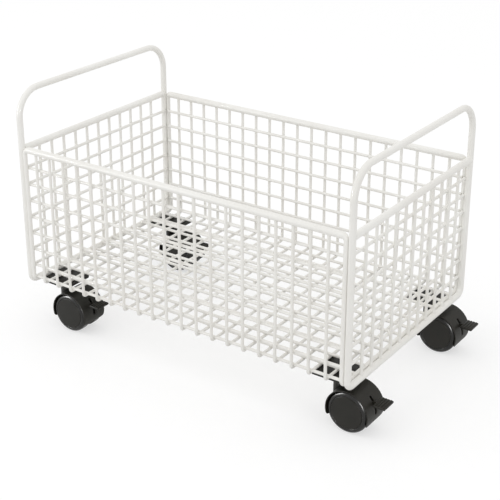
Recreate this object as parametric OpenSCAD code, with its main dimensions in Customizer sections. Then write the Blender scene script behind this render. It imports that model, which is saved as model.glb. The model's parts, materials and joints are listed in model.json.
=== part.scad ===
// Wire basket cart: an open basket of welded rod and wire between two bent tube
// end frames, on four twin wheel swivel casters with pedal brakes.
// X runs along the basket, Y across it, Z up. The origin is on the floor, in the
// middle of the space that the whole cart takes up.

/* [Basket] */
// Length between the centre lines of the two end frames
basket_l = 534; // [350:1:800]
// Width between the centre lines of the legs
basket_w = 318; // [240:1:420]
// Height from the underside of the mesh floor to the centre line of the rim
basket_depth = 202.5; // [120:0.5:320]

/* [End frames] */
// Diameter of the bent tube
tube_d = 9; // [8:0.5:14]
// Height of the handle's centre line above the rim's centre line
handle_rise = 82; // [50:1:140]
// Centre line radius of the two handle bends
handle_bend_r = 38; // [20:1:45]
// Centre line radius of the two foot bends
foot_bend_r = 10; // [8:1:16]
// How far the foot's centre line lies below the underside of the floor wires
foot_drop = 1.5; // [0:0.5:4]

/* [Rim] */
// Diameter of the four rim rods
rim_d = 9.5; // [8.5:0.5:12]
// How far a rim rod stops short of the leg's centre line
rim_trim = 1; // [0.5:0.1:2]

/* [Wire mesh] */
// Diameter of the mesh wires
wire_d = 4.2; // [2.5:0.1:5]
// Distance from wire to wire
wire_pitch = 25; // [18:1:40]
// Least distance from the last upright wire to the leg's centre line
mesh_margin = 22; // [18:1:30]
// Least distance from the top level wire to the rim's centre line
rim_margin = 11; // [8:1:20]
// How far the uprights of the long panels are set off from the middle, towards +X
mesh_shift = -1.4; // [-2:0.1:2]
// How far the uprights of the long panels stand outside the legs' centre lines
upright_out = 1.8; // [1:0.1:2.2]
// How far the floor's X wires run past the centre lines of the border rods
floor_overrun = 1.5; // [0.5:0.5:2.5]
// Diameter of the border rods
border_d = 6; // [5:0.5:7]
// Centre line radius of the border rods' lower bends
border_bend_r = 9; // [7:1:14]
// Centre line radius of the border rods' upper bends
border_top_r = 6; // [5:0.5:9]
// Length of the straight end after an upper bend
border_end_l = 3; // [1:0.5:5]

/* [Caster plates] */
// Distance from the legs' centre lines to a plate's outer edge, across the basket
plate_inset = 9.5; // [8:0.5:30]
// How far a kingpin stands outward of the middle of its plate, along the basket
kingpin_shift = 2.9; // [0:0.1:6]
// Length of a plate, along X
plate_l = 50; // [40:1:60]
// Width of a plate, along Y
plate_w = 50; // [40:1:60]
// Thickness of a plate
plate_t = 4; // [3:0.5:6]
// Corner radius of a plate
plate_corner_r = 5; // [2:0.5:8]

/* [Casters] */
// Diameter of a wheel over its tread
wheel_d = 58; // [50:1:70]
// Width of a wheel
wheel_w = 13.6; // [12.5:0.1:16]
// Distance from the middle of the caster to a wheel's inner face
wheel_inset = 7.2; // [7:0.1:9]
// Radius that rounds the tread into the wheel's outer face
wheel_round_r = 5.3; // [3:0.1:5.5]
// Diameter of the pressed hub cap
cap_d = 45; // [40:0.5:46]
// Height of the cap's dome above the wheel's face
cap_dome = 0.6; // [0.3:0.1:1]
// How deep the cap sits in the wheel's face
cap_depth = 2; // [1.5:0.1:2.2]
// Diameter of a wheel's hub
hub_d = 13; // [11:0.5:15]
// Diameter of the hollow behind a wheel's face, where the brake bar bears
drum_d = 44; // [42:0.5:46]
// Depth of that hollow
drum_depth = 10.6; // [8:0.1:10.8]
// Distance of the axle behind the kingpin
trail = 24.5; // [22:0.5:27]
// Diameter of the axle
axle_d = 6; // [5:0.5:7]
// Space between the tread and the inside of the hood
hood_space = 0.6; // [0.5:0.1:2]
// Wall of the hood over the tread
hood_wall = 1.4; // [1.2:0.1:2.5]
// Width of the hood, across both wheels
hood_w = 43; // [42:0.5:48]
// How far the hood comes down below the axle on each side, in degrees
hood_skirt = 24; // [10:1:30]
// Radius of the corners at the hood's two lower ends
skirt_corner_r = 5; // [2:0.5:8]
// How far the arcs of those corners run past the hood's sides and ends, which they meet at an angle
corner_past = 0.2; // [0.1:0.1:0.5]
// Thickness of the web between the wheels
web_w = 12; // [10:0.5:13]
// Diameter of the disc round the axle
web_hub_d = 18; // [15:0.5:20]
// Height of the neck between the hood and the plate
neck_h = 11; // [9:0.5:20]
// Diameter of the neck
neck_d = 13; // [10.5:0.1:13.4]
// How far the neck reaches down the back of the hood
neck_skirt = 24; // [20:1:30]
// Lower end of the lever's slot in the hood, in degrees above the axle
slot_from = -1; // [-8:1:0]
// Upper end of the lever's slot in the hood, in degrees above the axle
slot_to = 46; // [40:1:54]
// Material between the disc round the axle and the lever's slot
slot_land = 0.5; // [0.2:0.1:1]
// How far the lever's pocket in the web reaches past the wheels' hollows
pocket_reach = 1; // [0.5:0.1:2]
// Diameter of the kingpin
kingpin_d = 6; // [5:0.5:6]
// Diameter of the kingpin's collar
collar_d = 11; // [9:0.5:13]
// Thickness of that collar
collar_t = 1.4; // [1:0.1:2]
// Wall of the bush round the kingpin
bush_wall = 0.95; // [0.8:0.05:1.1]
// Depth of the kingpin's hole below the top of the hood's round
stem_depth = 12.8; // [9:0.1:14]
// Space under the kingpin in its hole
kingpin_space = 0.7; // [0.3:0.1:1.5]
// Height of the bush's foot above the floor of that hole
bush_space = 1.5; // [0.5:0.1:2.5]

/* [Brake] */
// Length of the pedal, along X
pedal_l = 17; // [12:0.5:24]
// Width of the pedal
pedal_w = 24; // [16:0.5:34]
// Thickness of the pedal
pedal_t = 3; // [2:0.1:4]
// Distance from the axle to the pedal's near edge
pedal_x = 32; // [32:0.5:36]
// Height of the pedal's top above the axle
pedal_z = 18.5; // [17:0.1:21]
// Number of grip ribs on the pedal
pedal_ribs = 4; // [2:1:5]
// Height of a grip rib
rib_h = 0.8; // [0.4:0.1:1.2]
// Thickness of the lever's arm
arm_t = 3.4; // [2.5:0.1:5]
// Depth of the lever's arm
arm_h = 4.5; // [3.5:0.1:5]
// How far the arm runs in under the pedal
arm_lap = 2; // [1:0.5:5]
// How far the arm's upper end sinks into the pedal
arm_sink = 0.5; // [0.2:0.1:1]
// Place of the lever's pivot ahead of the axle
pivot_x = 14; // [13.5:0.1:14.5]
// Height of the lever's pivot above the axle
pivot_z = 10; // [9.5:0.1:10.5]
// Diameter of the lever's pin
pin_d = 3; // [2.5:0.1:3.2]
// How far each end of the lever's pin lies inside the web's face
pin_sink = 0.1; // [0.1:0.1:0.5]
// Wall of the lever's eye round the pin
eye_wall = 2.05; // [1.5:0.05:2.2]
// Place of the brake bar ahead of the axle
bar_x = 4.5; // [4.3:0.1:4.7]
// Height of the brake bar above the axle
bar_z = 16.5; // [16.3:0.1:16.7]
// Diameter of the brake bar
bar_d = 5.4; // [4.8:0.1:5.4]
// Length of the brake bar, through the web into both wheels
bar_l = 22; // [18:0.5:26]
// How far the lever turns when the pedal is pressed, in degrees
press_angle = 10; // [6:1:10]

/* [Fits] */
// Space at a welded joint
weld_gap = 0.02; // [0.01:0.01:0.05]
// Space between a wire's square end and the round rod that it meets
butt_gap = 0.03; // [0.03:0.01:0.06]
// Space between a plate and the border rod beside it
plate_gap = 0.1; // [0.1:0.1:2]
// Radial clearance of a pressed or riveted pin
press_gap = 0.02; // [0.01:0.01:0.03]
// Radial clearance of a pin that turns in its bore
run_gap = 0.05; // [0.02:0.01:0.1]
// Space between faces that turn past each other
face_gap = 0.1; // [0.1:0.05:0.3]
// Space between an axle's end and the bottom of its bore
end_gap = 0.3; // [0.1:0.1:1]
// Space on each side of the lever in its slot
side_gap = 0.3; // [0.2:0.05:0.5]
// Space round the brake bar in its window
bar_gap = 0.36; // [0.3:0.02:0.6]

/* [Hidden] */
$fn = 64;
// Facets round a large circle of which only a flat cap is used
dome_fn = 720;
// Widest step of a pie slice's outline, in degrees
sector_step = 20;
// How far a cutting body runs past what it cuts
over = 1;

enamel = "#E6E4DF";
nylon = "#2D2C29";
zinc = "#B9BCBE";

// Radii that many pieces share
tube_r = tube_d / 2;
rim_r = rim_d / 2;
wire_r = wire_d / 2;
border_r = border_d / 2;
wheel_r = wheel_d / 2;
axle_r = axle_d / 2;
kingpin_r = kingpin_d / 2;
hood_in_r = wheel_r + hood_space;
hood_r = hood_in_r + hood_wall;

// Heights, from the floor up
axle_z = wheel_r;
hood_top_z = axle_z + hood_r;
plate_z = hood_top_z + neck_h;
floor_z = plate_z + plate_t + weld_gap;
rim_z = floor_z + basket_depth;
handle_z = rim_z + handle_rise;
foot_z = floor_z - foot_drop;

// Leg centre lines, from the basket's middle
leg_x = basket_l / 2;
leg_y = basket_w / 2;

// Crossed wires lie against each other: the floor's Y wires under its X wires, the
// uprights outside the level wires
wire_step = wire_d + weld_gap;
floor_y_wire_z = floor_z + wire_r;
floor_x_wire_z = floor_y_wire_z + wire_step;
upright_y = leg_y + upright_out;
level_y = upright_y - wire_step;
end_level_x = leg_x - wire_step;
upright_top_z = rim_z - rim_r - weld_gap;
end_foot_z = foot_z + tube_r + weld_gap;

// Border rods touch the legs, the rim rods and the floor's X wires
border_y = upright_y;
border_leg_reach = tube_r + border_r + weld_gap;
border_x = leg_x - sqrt(pow(border_leg_reach, 2) - pow(border_y - leg_y, 2));
border_rim_reach = rim_r + border_r + weld_gap;
border_top_z = rim_z - sqrt(pow(border_rim_reach, 2) - pow(border_y - leg_y, 2));
border_floor_z = floor_x_wire_z - wire_r - border_r - weld_gap;
border_side = border_y - level_y - wire_r;
level_end_x = border_x - sqrt(max(0, pow(border_r, 2) - pow(border_side, 2))) - butt_gap;
corner_end_x = border_x - border_r - weld_gap;
leg_side = leg_x - end_level_x - wire_r;
end_level_end_y = leg_y - sqrt(max(0, pow(tube_r, 2) - pow(leg_side, 2))) - butt_gap;
floor_end_x = border_x + floor_overrun;

// Wire places
upright_n = floor((basket_l - 2 * mesh_margin) / wire_pitch) + 1;
end_upright_n = floor((basket_w - 2 * mesh_margin) / wire_pitch) + 1;
level_n = floor((basket_depth - rim_margin) / wire_pitch);
floor_gaps = round(2 * level_y / wire_pitch);
upright_xs = [for (i = [0 : upright_n - 1]) mesh_shift + (i - (upright_n - 1) / 2) * wire_pitch];
end_upright_ys = [for (i = [0 : end_upright_n - 1]) (i - (end_upright_n - 1) / 2) * wire_pitch];
level_zs = [for (i = [1 : level_n]) floor_z + i * wire_pitch];
floor_wire_ys = [for (i = [1 : floor_gaps - 1]) -level_y + i * 2 * level_y / floor_gaps];

// Caster places and heights
plate_x = border_x - border_r - plate_gap - plate_l / 2;
caster_x = plate_x + kingpin_shift;
caster_y = leg_y - plate_inset - plate_w / 2;
swivel_top_z = plate_z - collar_t - face_gap;
stem_hole_z = hood_top_z - stem_depth;
kingpin_end_z = stem_hole_z + kingpin_space;
bush_r = kingpin_r + run_gap + bush_wall;
bush_foot_z = stem_hole_z + bush_space;
wheel_back_y = wheel_inset;
wheel_face_y = wheel_inset + wheel_w;
cap_seat_y = wheel_face_y - cap_depth;
axle_end_y = wheel_inset + drum_depth - end_gap;
pin_end_y = web_w / 2 - pin_sink;
drum_r = drum_d / 2;

// Lever: pivot to bar, and the bar's two ends of travel
bar_from_pivot = [bar_x - pivot_x, bar_z - pivot_z];
bar_pressed = [
    pivot_x + bar_from_pivot[0] * cos(press_angle) + bar_from_pivot[1] * sin(press_angle),
    pivot_z + bar_from_pivot[1] * cos(press_angle) - bar_from_pivot[0] * sin(press_angle)
];
window_mid = ([bar_x, bar_z] + bar_pressed) / 2;
window_r = bar_d / 2 + norm(bar_pressed - [bar_x, bar_z]) / 2 + bar_gap;
eye_r = pin_d / 2 + run_gap + eye_wall;
arm_end = [pedal_x + arm_lap, pedal_z - pedal_t + arm_sink];
slot_w = arm_t + 2 * side_gap;

// The basket sits off centre, because all four pedals point towards +X
reach_right = max(leg_x + max(tube_r, rim_r), caster_x + trail + pedal_x + pedal_l);
reach_left = leg_x + max(tube_r, rim_r);
basket_x = (reach_left - reach_right) / 2;

// Round bar along X, Y or Z
module bar_x_dir(r, x0, x1) {
    translate([x0, 0, 0])
        rotate([0, 90, 0])
            cylinder(r = r, h = x1 - x0);
}

module bar_y_dir(r, y0, y1) {
    translate([0, y1, 0])
        rotate([90, 0, 0])
            cylinder(r = r, h = y1 - y0);
}

module bar_z_dir(r, z0, z1) {
    translate([0, 0, z0])
        cylinder(r = r, h = z1 - z0);
}

// Quarter bend in the plane of X and Y: it starts at [bend_r, 0] and ends at [0, bend_r]
module quarter_bend(r, bend_r) {
    rotate_extrude(angle = 90)
        translate([bend_r, 0])
            circle(r = r);
}

// Quarter bend in the plane of Y and Z, from [bend_r, 0] to [0, bend_r]
module upright_bend(r, bend_r) {
    rotate([90, 0, 90])
        quarter_bend(r, bend_r);
}

// A piece and its mirror image across the XZ plane
module both_y() {
    children();
    mirror([0, 1, 0])
        children();
}

// A piece and its mirror image across the YZ plane
module both_x() {
    children();
    mirror([1, 0, 0])
        children();
}

module in_basket() {
    translate([basket_x, 0, 0])
        children();
}

// End frame, in the plane X = 0: one tube bent into a closed loop
module end_loop() {
    handle_half = leg_y - handle_bend_r;
    foot_half = leg_y - foot_bend_r;
    union() {
        translate([0, 0, handle_z])
            bar_y_dir(tube_r, -handle_half, handle_half);
        translate([0, 0, foot_z])
            bar_y_dir(tube_r, -foot_half, foot_half);
        both_y() {
            translate([0, leg_y, 0])
                bar_z_dir(tube_r, foot_z + foot_bend_r, handle_z - handle_bend_r);
            translate([0, handle_half, handle_z - handle_bend_r])
                upright_bend(tube_r, handle_bend_r);
            translate([0, foot_half, foot_z + foot_bend_r])
                mirror([0, 0, 1])
                    upright_bend(tube_r, foot_bend_r);
        }
    }
}

module end_frame(side) {
    color(enamel)
        in_basket()
            translate([side * leg_x, 0, 0])
                end_loop();
}

// Rim rod along X between legs at -half and half, mitred on its +Y side against the
// next rod and coped round both legs
module rim_rod(half) {
    wide = rim_d;
    outline = [
        [-(half - rim_trim), -wide],
        [half - rim_trim, -wide],
        [half - rim_trim, rim_trim - weld_gap],
        [half - wide, wide - weld_gap],
        [-(half - wide), wide - weld_gap],
        [-(half - rim_trim), rim_trim - weld_gap]
    ];
    difference() {
        intersection() {
            bar_x_dir(rim_r, -half, half);
            translate([0, 0, -wide])
                linear_extrude(2 * wide)
                    polygon(outline);
        }
        both_x()
            translate([half, 0, 0])
                bar_z_dir(tube_r + weld_gap, -wide, wide);
    }
}

module long_rim_rail(side) {
    color(enamel)
        in_basket()
            translate([0, side * leg_y, rim_z])
                mirror([0, side > 0 ? 1 : 0, 0])
                    rim_rod(leg_x);
}

module short_rim_rail(side) {
    color(enamel)
        in_basket()
            translate([side * leg_x, 0, rim_z])
                rotate([0, 0, side * 90])
                    rim_rod(leg_y);
}

// Border rod in the plane X = 0, its upper ends turned towards -X
module border_loop() {
    floor_half = border_y - border_bend_r;
    union() {
        translate([0, 0, border_floor_z])
            bar_y_dir(border_r, -floor_half, floor_half);
        both_y() {
            translate([0, floor_half, border_floor_z + border_bend_r])
                mirror([0, 0, 1])
                    upright_bend(border_r, border_bend_r);
            translate([0, border_y, 0])
                bar_z_dir(border_r, border_floor_z + border_bend_r, border_top_z - border_top_r);
            translate([-border_top_r, border_y, border_top_z - border_top_r])
                rotate([90, 0, 0])
                    quarter_bend(border_r, border_top_r);
            translate([-border_top_r, border_y, border_top_z])
                bar_x_dir(border_r, -border_end_l, 0);
        }
    }
}

module border_rod(side) {
    color(enamel)
        in_basket()
            mirror([side < 0 ? 1 : 0, 0, 0])
                translate([border_x, 0, 0])
                    border_loop();
}

// Front or back panel: uprights that bend inwards under the corner wire, and level wires
module side_mesh(side) {
    color(enamel)
        in_basket()
            mirror([0, side < 0 ? 1 : 0, 0]) {
                for (x = upright_xs)
                    translate([x, 0, 0])
                        union() {
                            translate([0, upright_y, 0])
                                bar_z_dir(wire_r, floor_x_wire_z, upright_top_z);
                            translate([0, level_y, floor_x_wire_z])
                                mirror([0, 0, 1])
                                    upright_bend(wire_r, wire_step);
                        }
                for (z = level_zs)
                    translate([0, level_y, z])
                        bar_x_dir(wire_r, -level_end_x, level_end_x);
                translate([0, level_y, floor_x_wire_z])
                    bar_x_dir(wire_r, -corner_end_x, corner_end_x);
            }
}

// Floor panel: Y wires below, X wires above them that rest on the border rods
module floor_mesh() {
    color(enamel)
        in_basket() {
            for (x = upright_xs)
                translate([x, 0, floor_y_wire_z])
                    bar_y_dir(wire_r, -level_y, level_y);
            for (y = floor_wire_ys)
                translate([0, y, floor_x_wire_z])
                    bar_x_dir(wire_r, -floor_end_x, floor_end_x);
        }
}

// End panel: uprights between the foot and the rim, level wires inside them
module end_mesh(side) {
    color(enamel)
        in_basket()
            mirror([side < 0 ? 1 : 0, 0, 0]) {
                for (y = end_upright_ys)
                    translate([leg_x, y, 0])
                        bar_z_dir(wire_r, end_foot_z, upright_top_z);
                for (z = level_zs)
                    translate([end_level_x, 0, z])
                        bar_y_dir(wire_r, -end_level_end_y, end_level_end_y);
            }
}

// Plate with rounded corners and the kingpin's hole, on the end of the basket that side names
module mount_plate(side) {
    color(nylon)
        difference() {
            translate([-side * kingpin_shift, 0, plate_z])
                linear_extrude(plate_t)
                    rounded_rectangle(plate_l, plate_w, plate_corner_r);
            bar_z_dir(kingpin_r + press_gap, plate_z - over, plate_z + plate_t + over);
        }
}

module rounded_rectangle(l, w, r) {
    union() {
        square([l - 2 * r, w], center = true);
        square([l, w - 2 * r], center = true);
        for (sx = [-1, 1], sy = [-1, 1])
            translate([sx * (l / 2 - r), sy * (w / 2 - r)])
                circle(r = r);
    }
}

// Kingpin, riveted flush with the top of the plate
module kingpin() {
    color(zinc)
        union() {
            bar_z_dir(kingpin_r, kingpin_end_z, plate_z + plate_t);
            bar_z_dir(collar_d / 2, plate_z - collar_t, plate_z);
        }
}

// Bush that turns on the kingpin
module stem_bush() {
    color(zinc)
        difference() {
            bar_z_dir(bush_r, bush_foot_z, swivel_top_z);
            bar_z_dir(kingpin_r + run_gap, bush_foot_z - over, swivel_top_z + over);
        }
}

// Places its children about the axle, drawn with X forward and Y up, and extruded
// evenly to both sides of the caster's middle
module about_axle(w) {
    translate([trail, 0, axle_z])
        rotate([90, 0, 0])
            linear_extrude(w, center = true)
                children();
}

// Pie slice of the plane from angle a to angle b
module sector(a, b, r) {
    steps = ceil((b - a) / sector_step);
    polygon(concat(
        [[0, 0]],
        [for (i = [0 : steps]) r * [cos(a + (b - a) * i / steps), sin(a + (b - a) * i / steps)]]
    ));
}

// Rounds the ends of a bar in the plane, from p to q
module rounded_link(p, q, w) {
    along = q - p;
    translate(p)
        rotate(atan2(along[1], along[0]))
            translate([0, -w / 2])
                square([norm(along), w]);
    translate(q)
        circle(d = w);
}

// What is cut off both corners of a lower end of the shell, with the end in the plane Z = 0
// and the shell above it
module corner_waste() {
    corner = skirt_corner_r - corner_past;
    both_y()
        rotate([90, 0, 90])
            linear_extrude(2 * hood_r)
                translate([hood_w / 2 - corner, corner])
                    difference() {
                        translate([0, -corner - over])
                            square(corner + over);
                        circle(r = skirt_corner_r);
                    }
}

// Hood: shell over both treads, web between the wheels, and the neck round the bush
module hood() {
    shell_ends = [-hood_skirt, 180 + hood_skirt];
    slot_r = web_hub_d / 2 + slot_land;
    color(nylon)
        difference() {
            union() {
                about_axle(hood_w)
                    intersection() {
                        difference() {
                            circle(r = hood_r);
                            circle(r = hood_in_r);
                        }
                        sector(shell_ends[0], shell_ends[1], 2 * hood_r);
                    }
                about_axle(web_w)
                    union() {
                        intersection() {
                            circle(r = hood_in_r + hood_wall / 2);
                            sector(shell_ends[0], shell_ends[1], 2 * hood_r);
                        }
                        circle(d = web_hub_d);
                    }
                bar_z_dir(neck_d / 2, hood_top_z - neck_skirt, swivel_top_z);
            }
            translate([trail, 0, axle_z]) {
                rotate([0, -shell_ends[0], 0])
                    corner_waste();
                rotate([0, -shell_ends[1], 0])
                    mirror([0, 0, 1])
                        corner_waste();
            }
            bar_z_dir(bush_r + press_gap, stem_hole_z, swivel_top_z + over);
            about_axle(web_w + 2 * over)
                circle(r = axle_r + press_gap);
            about_axle(slot_w)
                difference() {
                    union() {
                        sector(slot_from, slot_to, 2 * hood_r);
                        intersection() {
                            sector(slot_from, 90, 2 * hood_r);
                            circle(r = drum_r + pocket_reach);
                        }
                    }
                    circle(r = slot_r);
                }
            about_axle(web_w + 2 * over)
                translate([pivot_x, pivot_z])
                    circle(r = pin_d / 2 + press_gap);
            about_axle(web_w + 2 * over)
                translate(window_mid)
                    circle(r = window_r);
        }
}

module axle() {
    color(zinc)
        translate([trail, 0, axle_z])
            bar_y_dir(axle_r, -axle_end_y, axle_end_y);
}

module brake_pin() {
    color(zinc)
        translate([trail + pivot_x, 0, axle_z + pivot_z])
            bar_y_dir(pin_d / 2, -pin_end_y, pin_end_y);
}

// Lever: ribbed pedal, arm, eye round the pin, and the bar that reaches both wheels
module brake_lever() {
    rib_w = pedal_l / (2 * pedal_ribs + 1);
    color(nylon)
        difference() {
            union() {
                about_axle(pedal_w)
                    translate([pedal_x, pedal_z - pedal_t])
                        square([pedal_l, pedal_t]);
                about_axle(pedal_w)
                    for (i = [0 : pedal_ribs - 1])
                        translate([pedal_x + (2 * i + 1) * rib_w, pedal_z - pedal_t / 2])
                            square([rib_w, pedal_t / 2 + rib_h]);
                about_axle(arm_t)
                    union() {
                        translate([pivot_x, pivot_z])
                            circle(r = eye_r);
                        rounded_link([pivot_x, pivot_z], arm_end, arm_h);
                        rounded_link([pivot_x, pivot_z], [bar_x, bar_z], arm_h);
                    }
                about_axle(bar_l)
                    translate([bar_x, bar_z])
                        circle(d = bar_d);
            }
            about_axle(arm_t + 2 * over)
                translate([pivot_x, pivot_z])
                    circle(r = pin_d / 2 + run_gap);
        }
}

// Wheel on the +Y side, drawn as radius and distance from the caster's middle
module wheel_profile() {
    difference() {
        union() {
            translate([0, wheel_back_y])
                square([wheel_r - wheel_round_r, wheel_w]);
            translate([0, wheel_back_y])
                square([wheel_r, wheel_w - wheel_round_r]);
            translate([wheel_r - wheel_round_r, wheel_face_y - wheel_round_r])
                circle(r = wheel_round_r);
        }
        translate([hub_d / 2, wheel_back_y - over])
            square([drum_r - hub_d / 2, drum_depth + over]);
        translate([0, wheel_back_y - over])
            square([axle_r + run_gap, drum_depth + over]);
        translate([0, cap_seat_y])
            square([cap_d / 2 + press_gap, wheel_w]);
        translate([-wheel_r, 0])
            square([wheel_r, 3 * wheel_w]);
    }
}

// Hub cap: a flat disc with a low dome, pressed into the wheel's face
module cap_profile() {
    dome_r = (pow(cap_d / 2, 2) + pow(cap_dome, 2)) / (2 * cap_dome);
    intersection() {
        translate([0, wheel_face_y + cap_dome - dome_r])
            circle(r = dome_r, $fn = dome_fn);
        translate([0, cap_seat_y + press_gap])
            square([cap_d / 2, wheel_w]);
    }
}

// Turns a profile about the axle of the wheel on the given side
module wheel_turned(side) {
    translate([trail, 0, axle_z])
        rotate([side * -90, 0, 0])
            rotate_extrude()
                children();
}

module wheel(side) {
    color(nylon)
        wheel_turned(side)
            wheel_profile();
}

module hub_cap(side) {
    color(nylon)
        wheel_turned(side)
            cap_profile();
}

// Name of each corner and its side along X and Y
CORNERS = [
    ["front_left", -1, -1],
    ["front_right", 1, -1],
    ["back_left", -1, 1],
    ["back_right", 1, 1]
];

module at_corner(corner) {
    translate([basket_x + corner[1] * caster_x, corner[2] * caster_y, 0])
        children();
}

end_frame(-1);  // left_end_frame
end_frame(1);  // right_end_frame
long_rim_rail(-1);  // front_rim_rail
long_rim_rail(1);  // back_rim_rail
short_rim_rail(-1);  // left_rim_rail
short_rim_rail(1);  // right_rim_rail
border_rod(-1);  // left_border_rod
border_rod(1);  // right_border_rod
side_mesh(-1);  // front_mesh
side_mesh(1);  // back_mesh
floor_mesh();
end_mesh(-1);  // left_end_mesh
end_mesh(1);  // right_end_mesh
for (c = CORNERS) {
    at_corner(c) mount_plate(c[1]);
    at_corner(c) kingpin();
    at_corner(c) stem_bush();
    at_corner(c) hood();
    at_corner(c) axle();
    at_corner(c) brake_pin();
    at_corner(c) brake_lever();
    at_corner(c) wheel(c[2]);
    at_corner(c) wheel(-c[2]);
    at_corner(c) hub_cap(c[2]);
    at_corner(c) hub_cap(-c[2]);
}
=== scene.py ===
# %% [markdown]
# # A wire basket cart on twin wheel casters
# The cart is a low basket of welded wire between two bent tube end frames. It stands on four
# swivel casters with pedal brakes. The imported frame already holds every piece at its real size.
# This notebook gives each piece its finish, and it makes those pieces again whose bends, rounded
# edges, domes and weld beads a solid from a drawing doesn't have.

# %% Load the frame
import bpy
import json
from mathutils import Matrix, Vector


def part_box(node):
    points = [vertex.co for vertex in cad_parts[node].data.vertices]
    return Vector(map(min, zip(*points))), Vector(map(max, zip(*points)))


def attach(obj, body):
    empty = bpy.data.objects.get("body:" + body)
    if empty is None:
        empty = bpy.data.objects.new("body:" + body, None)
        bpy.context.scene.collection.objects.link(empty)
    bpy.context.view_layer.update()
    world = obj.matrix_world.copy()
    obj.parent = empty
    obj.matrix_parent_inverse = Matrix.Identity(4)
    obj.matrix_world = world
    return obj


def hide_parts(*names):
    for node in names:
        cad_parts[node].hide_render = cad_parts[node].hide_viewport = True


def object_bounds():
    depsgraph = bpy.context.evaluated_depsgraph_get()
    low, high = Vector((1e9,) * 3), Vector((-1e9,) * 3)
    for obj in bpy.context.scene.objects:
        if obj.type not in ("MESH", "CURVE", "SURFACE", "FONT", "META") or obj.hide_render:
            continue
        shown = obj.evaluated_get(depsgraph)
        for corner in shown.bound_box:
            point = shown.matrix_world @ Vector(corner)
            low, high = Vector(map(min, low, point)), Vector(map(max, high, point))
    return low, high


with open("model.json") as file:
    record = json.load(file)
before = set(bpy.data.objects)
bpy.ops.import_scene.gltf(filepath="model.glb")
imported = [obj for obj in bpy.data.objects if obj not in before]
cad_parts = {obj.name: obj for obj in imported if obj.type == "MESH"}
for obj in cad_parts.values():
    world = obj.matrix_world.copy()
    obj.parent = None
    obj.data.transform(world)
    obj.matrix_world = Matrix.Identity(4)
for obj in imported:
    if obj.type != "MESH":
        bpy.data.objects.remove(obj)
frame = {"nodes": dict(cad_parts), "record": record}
frame_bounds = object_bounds()

# %% Load the tools
import json
import math

import bmesh
import bpy
from mathutils import Matrix, Vector

MM = 0.001
scene = bpy.context.scene
print("Blender", bpy.app.version_string, "with lengths in metres")

# %% [markdown]
# ## Sizes from the frame
# Nothing here is measured twice. Each size that a new piece needs is read off the box of the node
# that has it, so the looks follow the frame if a size there changes. Only the radii of bends and
# edges, and sizes that a box can't tell, are written down beside the piece that has them.


# %% Measure a node
TOP_LAYER = 0.1 * MM


def centre(node):
    low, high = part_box(node)
    return (low + high) / 2


def extent(node):
    low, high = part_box(node)
    return high - low


def round_at_top(node, upright):
    """Radius of the round face on top of a node, about an upright axis."""
    spots = [v.co for v in frame["nodes"][node].data.vertices]
    top = max(spot.z for spot in spots)
    return max((spot - upright).xy.length for spot in spots if spot.z > top - TOP_LAYER)


print("the cart is", [round(side / MM) for side in frame_bounds[1] - frame_bounds[0]], "mm over all")

# %% Read the sizes of the basket
leg_x_left = centre("left_end_frame").x
leg_x_right = centre("right_end_frame").x
tube_r = extent("left_end_frame").x / 2
leg_y = extent("left_end_frame").y / 2 - tube_r
handle_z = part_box("left_end_frame")[1].z - tube_r
foot_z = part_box("left_end_frame")[0].z + tube_r
rim_z = centre("front_rim_rail").z
rim_r = extent("front_rim_rail").z / 2
print(f"legs {(leg_x_right - leg_x_left) / MM:.1f} x {2 * leg_y / MM:.1f} mm apart")
print(f"rim at {rim_z / MM:.1f} mm, handles at {handle_z / MM:.1f} mm")

# %% Read the sizes of a caster
CORNERS = ("front_left", "front_right", "back_left", "back_right")

axle_y = centre("back_left_axle").y
wheel_r = extent("front_left_wheel_outer").z / 2
wheel_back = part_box("back_left_wheel_outer")[0].y - axle_y
wheel_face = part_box("back_left_wheel_outer")[1].y - axle_y
cap_r = extent("front_left_hub_cap_outer").z / 2
cap_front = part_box("back_left_hub_cap_outer")[1].y - axle_y
axle_r = extent("front_left_axle").z / 2
trail = centre("front_left_axle").x - centre("front_left_kingpin").x
hood_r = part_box("front_left_hood")[1].x - centre("front_left_axle").x
hood_w = extent("front_left_hood").y
neck_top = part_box("front_left_hood")[1].z - centre("front_left_axle").z
neck_r = round_at_top("front_left_hood", centre("front_left_kingpin"))
bush_r = extent("front_left_stem_bush").x / 2
print(f"wheels of {2 * wheel_r / MM:.1f} mm, trail of {trail / MM:.1f} mm")
print(f"hoods of {2 * hood_r / MM:.1f} mm, {hood_w / MM:.1f} mm wide")

# %% [markdown]
# ## Surface effects that several finishes share
# A finish is more than its colour. Powder coat has an orange peel skin and moulded nylon a fine
# grain, both drift a little in tone, and dust settles on what looks up. The nodes for this could be
# laid out again in each material. As groups with named sockets they are built only once, and every
# material places them with its own values.


# %% Start a node group
def new_group(name, inputs, outputs):
    """An empty group, with the nodes at which its values come in and go out."""
    group = bpy.data.node_groups.new(name, "ShaderNodeTree")
    for label, kind, value in inputs:
        socket = group.interface.new_socket(name=label, in_out="INPUT", socket_type=kind)
        socket.default_value = value
    for label, kind in outputs:
        group.interface.new_socket(name=label, in_out="OUTPUT", socket_type=kind)
    return group, group.nodes.new("NodeGroupInput"), group.nodes.new("NodeGroupOutput")


print("node groups so far:", len(bpy.data.node_groups))


# %% Make a noise and do sums
def object_noise(tree, scale, detail, roughness=0.5):
    """A noise in Object coordinates whose scale comes from a socket."""
    place = tree.nodes.new("ShaderNodeTexCoord")
    noise = tree.nodes.new("ShaderNodeTexNoise")
    noise.inputs["Detail"].default_value = detail
    noise.inputs["Roughness"].default_value = roughness
    tree.links.new(place.outputs["Object"], noise.inputs["Vector"])
    tree.links.new(scale, noise.inputs["Scale"])
    return noise.outputs["Fac"]


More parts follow.
